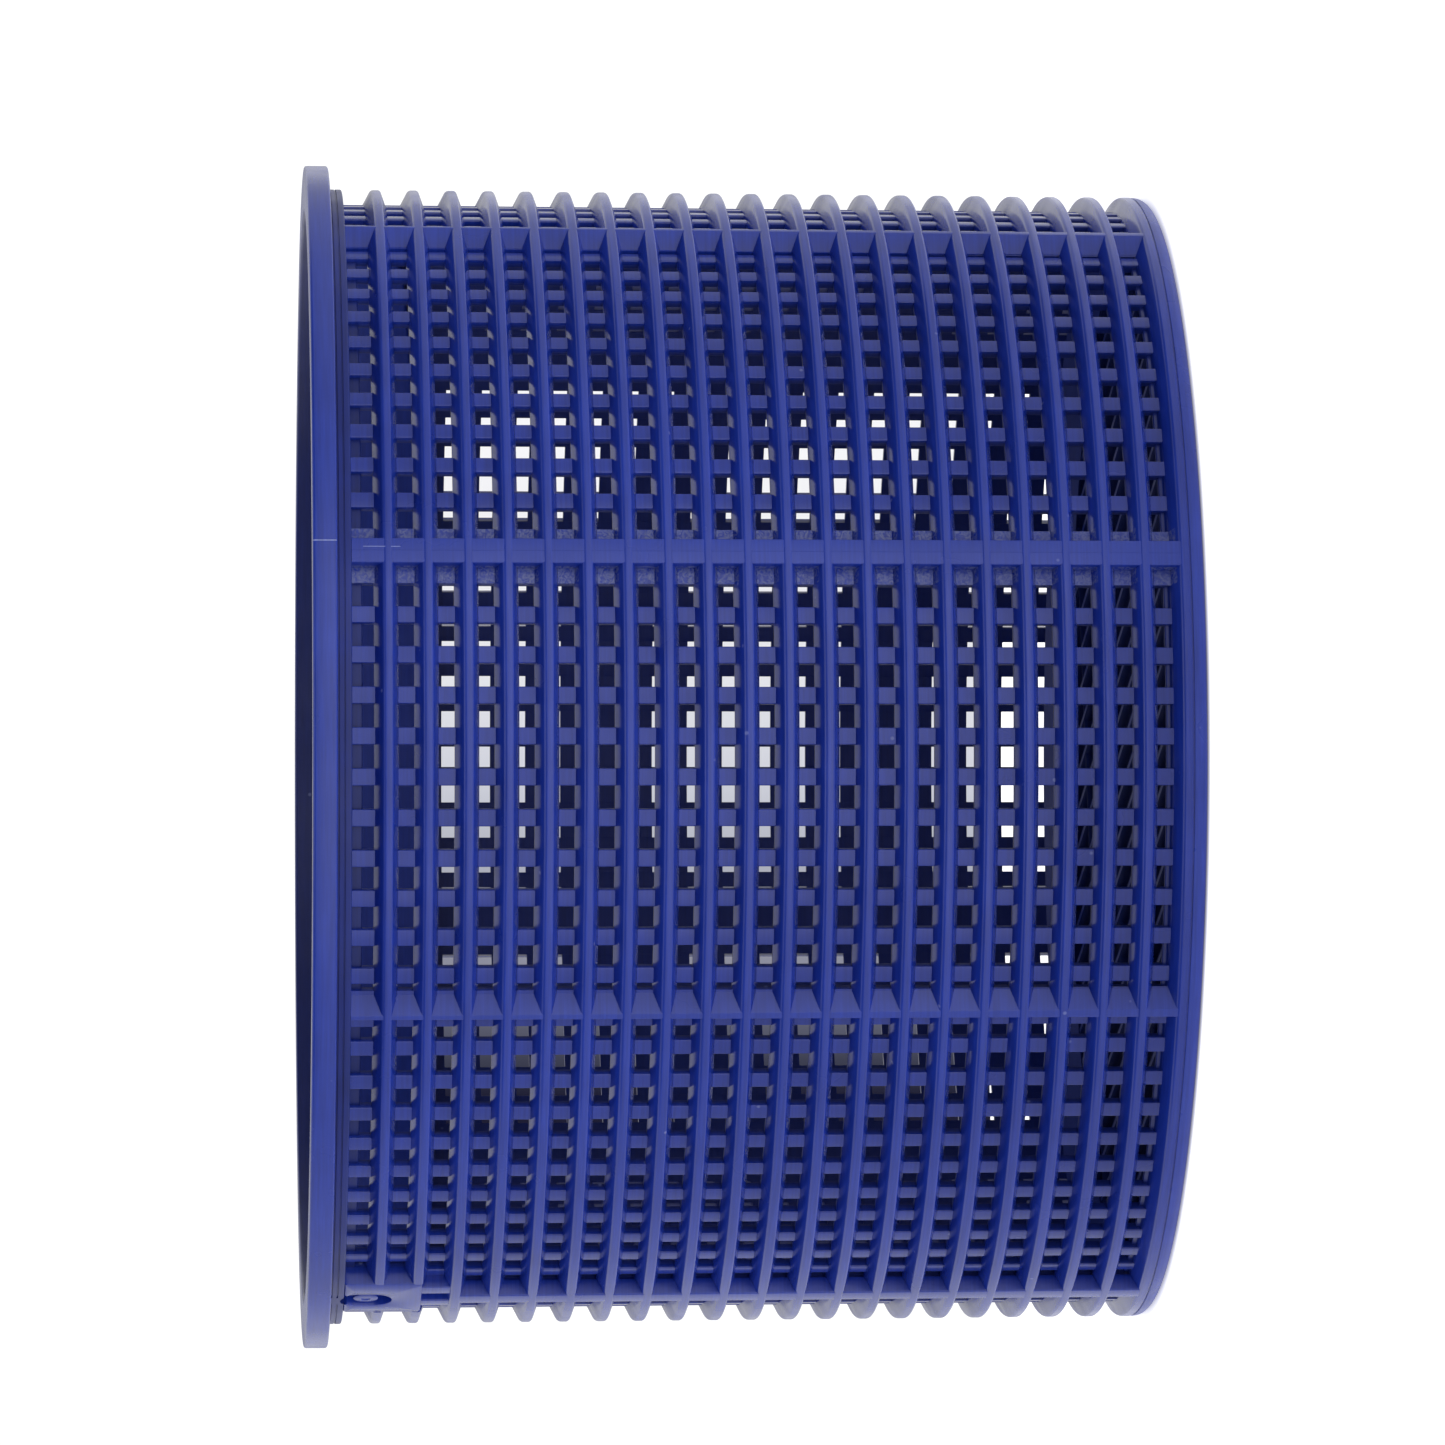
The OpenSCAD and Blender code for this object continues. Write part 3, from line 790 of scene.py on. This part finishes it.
# In front the light falls off just above the horizon, and comes back
# overhead. Behind, the tent is lit up to the top. Far below it is dim
gap = node(t, "ShaderNodeMapRange", smooth, i0=high, i1=-0.03, i2=0.2, i3=1.0, i4=0.12).outputs[0]
top = node(t, "ShaderNodeMapRange", smooth, i0=high, i1=0.5, i2=0.95, i3=0.0, i4=0.8).outputs[0]
above = node(t, "ShaderNodeMath", {"operation": "MAXIMUM"}, i0=gap, i1=top).outputs[0]
rear = node(t, "ShaderNodeSeparateXYZ", Vector=way).outputs["Y"]
rear = node(t, "ShaderNodeMapRange", smooth, i0=rear, i1=-0.1, i2=0.3, i3=0.0, i4=1.0).outputs[0]
above = node(t, "ShaderNodeMix", {"data_type": "FLOAT"}, i0=rear, i2=above, i3=0.9).outputs[0]
below = node(t, "ShaderNodeMapRange", smooth, i0=high, i1=-0.3, i2=-0.8, i3=1.0, i4=0.3).outputs[0]
level = node(t, "ShaderNodeMath", {"operation": "MULTIPLY"}, i0=front, i1=above).outputs[0]
level = node(t, "ShaderNodeMath", {"operation": "MULTIPLY"}, i0=level, i1=below).outputs[0]
shown = node(t, "ShaderNodeLightPath").outputs["Is Camera Ray"]
level = node(t, "ShaderNodeMix", {"data_type": "FLOAT"}, i0=shown, i2=level, i3=1.1).outputs[0]
t.links.new(level, t.nodes["Background"].inputs["Strength"])
t.nodes["Background"].inputs["Color"].default_value = (1, 1, 1, 1)
print("light made")

# %% [markdown]
# ## Camera
# The camera looks at the wall almost square on, from 1.31 m, with a long
# lens. It is turned on its side, so that the mouth of the upright basket is
# at the left of the picture. Its middle looks at a point near half the height
# of the basket. The focal length is given in the pixels of the picture.

# %% Camera
aside, tilt, roll, distance = math.radians(20.26), 0.0672, 0.0004, 1305.7
half_height, shift_right, shift_down = 67.5, 0.3, -5.49
sensor, focal, picture = 36, 8125, 1445
toward = np.array([-math.sin(aside), -math.cos(aside), 0])
down = np.array([-math.cos(aside), math.sin(aside), 0])
right = np.array([0, 0, -1]) * math.cos(tilt) + toward * math.sin(tilt)
back = np.array([0, 0, 1]) * math.sin(tilt) + toward * math.cos(tilt)
c, s = math.cos(roll), math.sin(roll)
right, down = right * c - down * s, right * s + down * c
spot = np.array([0, 0, half_height]) + shift_right * right + shift_down * down + distance * back
data = bpy.data.cameras.new("studio_camera")
data.sensor_width, data.lens = sensor, focal / picture * sensor
camera = bpy.data.objects.new("studio_camera", data)
bpy.context.scene.collection.objects.link(camera)
bpy.context.scene.camera = camera
pose = np.eye(4)
pose[:3, 0], pose[:3, 1], pose[:3, 2], pose[:3, 3] = right, -down, back, spot * 0.001
camera.matrix_world = Matrix(pose.tolist())
data.clip_start, data.clip_end = 0.05, 20
print("camera at", [round(float(v), 1) for v in spot], "mm")

# %% [markdown]
# ## The sheet behind
# Far behind the basket a sheet hangs square to the camera. It is white above
# and falls into shade below, as the paper does that the real basket lies on,
# and it is seen only through the windows. It gives no light to the basket.

# %% Sheet
far, wide, tall = 3000.0, 0.46, 0.57
sheet_right, sheet_down = 29.5, 15.6
middle = spot - back * (distance + far) + right * sheet_right + down * sheet_down
across = [(-wide / 2, tall / 2), (wide / 2, tall / 2), (wide / 2, -tall / 2), (-wide / 2, -tall / 2)]
sheet_mesh = bpy.data.meshes.new("shaded_sheet")
sheet_mesh.from_pydata([(x, y, 0) for x, y in across], [], [[3, 2, 1, 0]])
sheet = bpy.data.objects.new("shaded_sheet", sheet_mesh)
bpy.context.scene.collection.objects.link(sheet)
place = pose.copy()
place[:3, 3] = middle * 0.001
sheet.matrix_world = Matrix(place.tolist())
shaded = bpy.data.materials.new("shaded_paper_sheet")
shaded.use_nodes = True
t = shaded.node_tree
t.nodes.clear()
drop = node(t, "ShaderNodeSeparateXYZ", Vector=node(t, "ShaderNodeTexCoord").outputs["Object"]).outputs["Y"]
shade = node(t, "ShaderNodeMapRange", i0=drop, i1=-tall / 2, i2=tall / 2, i3=1.0, i4=0.0).outputs[0]
ramp = node(t, "ShaderNodeValToRGB", Fac=shade).outputs[0]
stops = ramp.node.color_ramp.elements
stops[0].position, stops[0].color = 0.21, linear("#F7F7FA")
stops[1].position, stops[1].color = 0.82, linear("#1E1E33")
falls = [(0.43, "#E4E5EA"), (0.516, "#D1D3DD"), (0.567, "#BDC0CB"), (0.614, "#A9ACB9")]
falls += [(0.707, "#868797"), (0.756, "#595B6C"), (0.786, "#3E4051")]
for at, grey in falls:
    stops.new(at).color = linear(grey)
shown = node(t, "ShaderNodeLightPath").outputs["Is Camera Ray"]
light = node(t, "ShaderNodeEmission", Color=ramp, Strength=1.0).outputs[0]
clear = node(t, "ShaderNodeBsdfTransparent").outputs[0]
seen_only = node(t, "ShaderNodeMixShader", i0=shown, i1=clear, i2=light).outputs[0]
node(t, "ShaderNodeOutputMaterial", Surface=seen_only)
sheet_mesh.materials.append(shaded)
print("sheet hung")

# %% [markdown]
# ## Finish
# The picture is shown in the Standard view transform. The looks may not change the size
# of the part.

# %% Finish
bpy.context.scene.view_settings.view_transform = "Standard"
